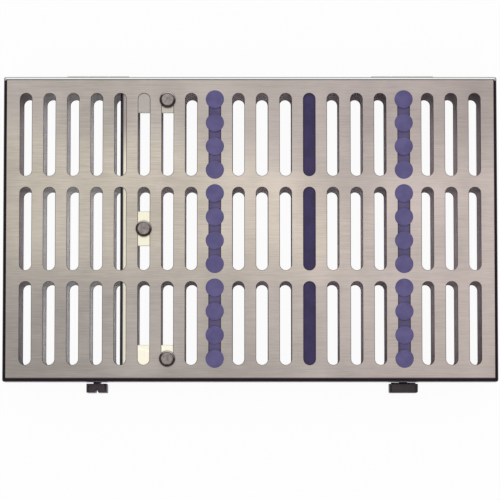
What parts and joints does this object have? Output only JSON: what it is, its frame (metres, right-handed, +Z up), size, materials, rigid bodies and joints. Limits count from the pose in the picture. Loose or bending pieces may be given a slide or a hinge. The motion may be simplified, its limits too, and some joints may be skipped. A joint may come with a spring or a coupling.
{
  "type": "dental instrument cassette",
  "caption": "Hinged perforated steel case with silicone instrument rails, a divider held by thumb screws and quarter-turn latches.",
  "frame": {"origin": "on the underside of the base floor, at the middle of the lid's outline", "axes": "+X to the right along the long side, +Y from the latches to the hinges, +Z up to the lid"},
  "size_m": [0.29, 0.1875, 0.0359],
  "materials": {
    "sheet_steel": "satin, fine straight grain",
    "turned_steel": "turned",
    "silicone": "matte, slightly translucent violet",
    "dark_knob": "satin, nearly black"
  },
  "bodies": {
    "base": {"base_floor": "sheet_steel", "base_walls": "sheet_steel", "base_rail_left": "silicone", "base_rail_right": "silicone", "base_hinge_leaves": "turned_steel", "hinge_pins": "turned_steel", "latch_bushes": "turned_steel"},
    "lid": {"lid_plate": "sheet_steel", "lid_skirt": "sheet_steel", "lid_rail_left": "silicone", "lid_rail_right": "silicone", "lid_strip": "silicone", "lid_hinge_leaves": "turned_steel", "divider": "sheet_steel", "divider_nuts": "turned_steel", "latch_keepers": "sheet_steel"},
    "latch_left": {"latch_grip_left": "dark_knob", "latch_cam_left": "turned_steel", "latch_nut_left": "turned_steel"},
    "latch_right": {"latch_grip_right": "dark_knob", "latch_cam_right": "turned_steel", "latch_nut_right": "turned_steel"},
    "knob_rear": {"divider_knob_rear": "dark_knob", "divider_screw_rear": "turned_steel"},
    "knob_middle": {"divider_knob_middle": "dark_knob", "divider_screw_middle": "turned_steel"},
    "knob_front": {"divider_knob_front": "dark_knob", "divider_screw_front": "turned_steel"}
  },
  "joints": [
    {"name": "lid_hinge", "type": "hinge", "parent": "base", "child": "lid", "pos_m": [0, 0.0904, 0.018], "axis": [-1, 0, 0], "range_deg": [0, 180]},
    {"name": "latch_left_turn", "type": "hinge", "parent": "base", "child": "latch_left", "pos_m": [-0.0903, -0.09, 0.012], "axis": [0, -1, 0], "range_deg": [-90, 90]},
    {"name": "latch_right_turn", "type": "hinge", "parent": "base", "child": "latch_right", "pos_m": [0.0903, -0.09, 0.012], "axis": [0, 1, 0], "range_deg": [0, 180]},
    {"name": "knob_rear_turn", "type": "hinge", "parent": "lid", "child": "knob_rear", "pos_m": [-0.04854, 0.076, 0.033], "axis": [0, 0, 1], "range_deg": [0, 360]},
    {"name": "knob_middle_turn", "type": "hinge", "parent": "lid", "child": "knob_middle", "pos_m": [-0.06241, 0, 0.033], "axis": [0, 0, 1], "range_deg": [0, 360]},
    {"name": "knob_front_turn", "type": "hinge", "parent": "lid", "child": "knob_front", "pos_m": [-0.04854, -0.0762, 0.033], "axis": [0, 0, 1], "range_deg": [0, 360]}
  ]
}
